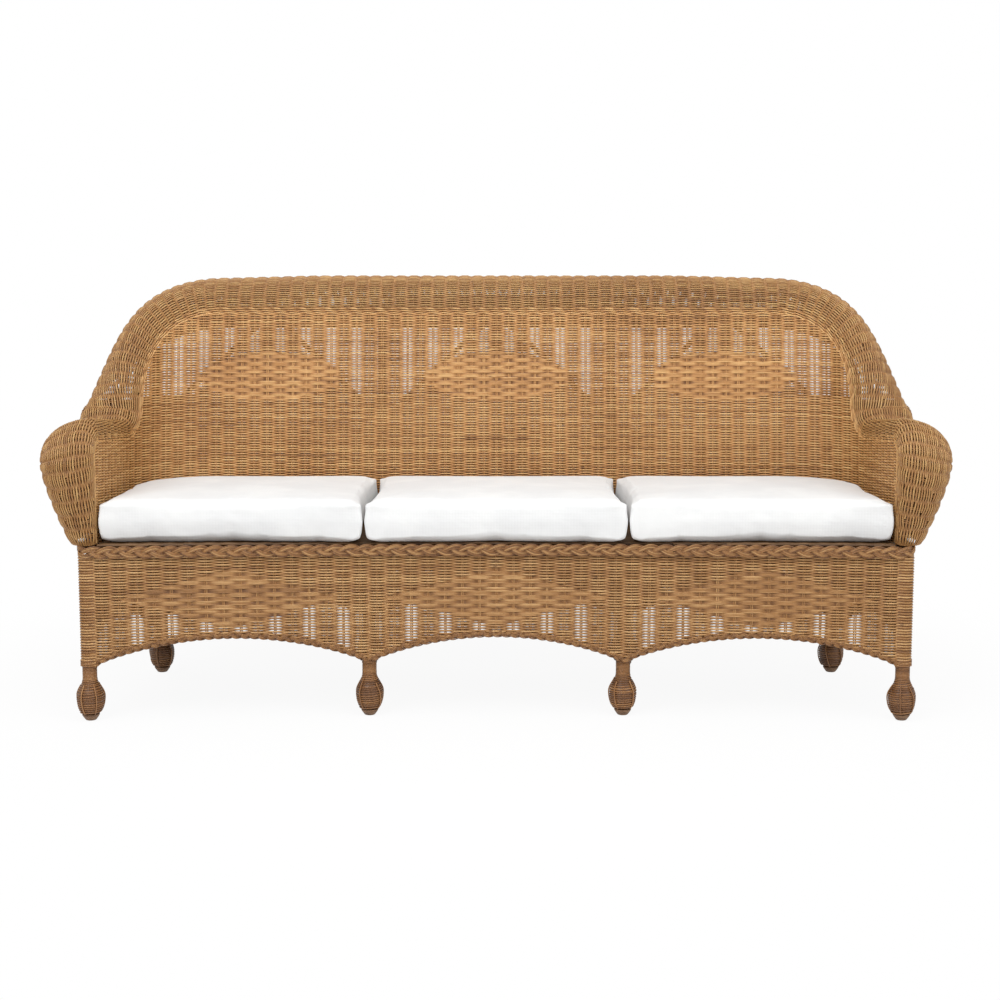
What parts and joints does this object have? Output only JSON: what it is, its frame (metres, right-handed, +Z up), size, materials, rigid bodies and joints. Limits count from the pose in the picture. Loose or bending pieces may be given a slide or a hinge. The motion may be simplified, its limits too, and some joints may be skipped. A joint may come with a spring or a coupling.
{
  "type": "rattan sofa",
  "caption": "Woven rattan garden sofa with rolled arms and back, an arched openwork skirt on ball feet, and loose white box cushions.",
  "frame": {"origin": "on the ground, at the middle of the object's bounding box", "axes": "+Z up, front of the sofa facing -Y, +X towards the right arm as seen from the front"},
  "size_m": [2.149, 0.8854, 1.0366],
  "materials": {
    "weave": "satin lacquered rattan reed",
    "braid": "satin plaited rattan reed",
    "cane_wrap": "satin cane wrapping",
    "pole": "satin rattan pole",
    "splint": "matt flat reed splint",
    "foot_disc": "satin turned wood",
    "cushion_fabric": "matt woven cotton"
  },
  "bodies": {
    "frame": {"left_front_outer_leg": "cane_wrap", "left_front_outer_glide": "foot_disc", "left_front_inner_leg": "cane_wrap", "left_front_inner_glide": "foot_disc", "left_rear_inner_leg": "cane_wrap", "left_rear_inner_glide": "foot_disc", "left_rear_outer_leg": "cane_wrap", "left_rear_outer_glide": "foot_disc", "left_seat_rail": "pole", "left_seat_bearer": "pole", "left_skirt": "weave", "left_skirt_border": "braid", "left_arm_inner_weave": "weave", "left_arm_roll": "weave", "left_arm_outer_weave": "weave", "left_back_post": "pole", "left_corner_post": "pole", "left_front_arm_post": "pole", "left_inner_arm_rail": "pole", "left_outer_arm_rail": "pole", "right_front_outer_leg": "cane_wrap", "right_front_outer_glide": "foot_disc", "right_front_inner_leg": "cane_wrap", "right_front_inner_glide": "foot_disc", "right_rear_inner_leg": "cane_wrap", "right_rear_inner_glide": "foot_disc", "right_rear_outer_leg": "cane_wrap", "right_rear_outer_glide": "foot_disc", "right_seat_rail": "pole", "right_seat_bearer": "pole", "right_skirt": "weave", "right_skirt_border": "braid", "right_arm_inner_weave": "weave", "right_arm_roll": "weave", "right_arm_outer_weave": "weave", "right_back_post": "pole", "right_corner_post": "pole", "right_front_arm_post": "pole", "right_inner_arm_rail": "pole", "right_outer_arm_rail": "pole", "front_seat_rail": "pole", "rear_seat_rail": "pole", "back_top_rail": "pole", "back_roll_rail": "pole", "left_back_brace": "pole", "center_back_brace": "pole", "right_back_brace": "pole", "front_skirt": "weave", "rear_skirt": "weave", "back_weave": "weave", "back_roll": "weave", "front_skirt_border": "braid", "rear_skirt_border": "braid", "deck_braid": "braid", "wale_trim": "braid", "seat_deck": "splint"},
    "left_seat": {"left_cushion": "cushion_fabric"},
    "center_seat": {"center_cushion": "cushion_fabric"},
    "right_seat": {"right_cushion": "cushion_fabric"}
  },
  "joints": [
    {"name": "left_cushion_lift", "type": "slide", "parent": "frame", "child": "left_seat", "axis": [0, 0, 1], "range_m": [0, 0.32]},
    {"name": "center_cushion_lift", "type": "slide", "parent": "frame", "child": "center_seat", "axis": [0, 0, 1], "range_m": [0, 0.32]},
    {"name": "right_cushion_lift", "type": "slide", "parent": "frame", "child": "right_seat", "axis": [0, 0, 1], "range_m": [0, 0.32]}
  ]
}
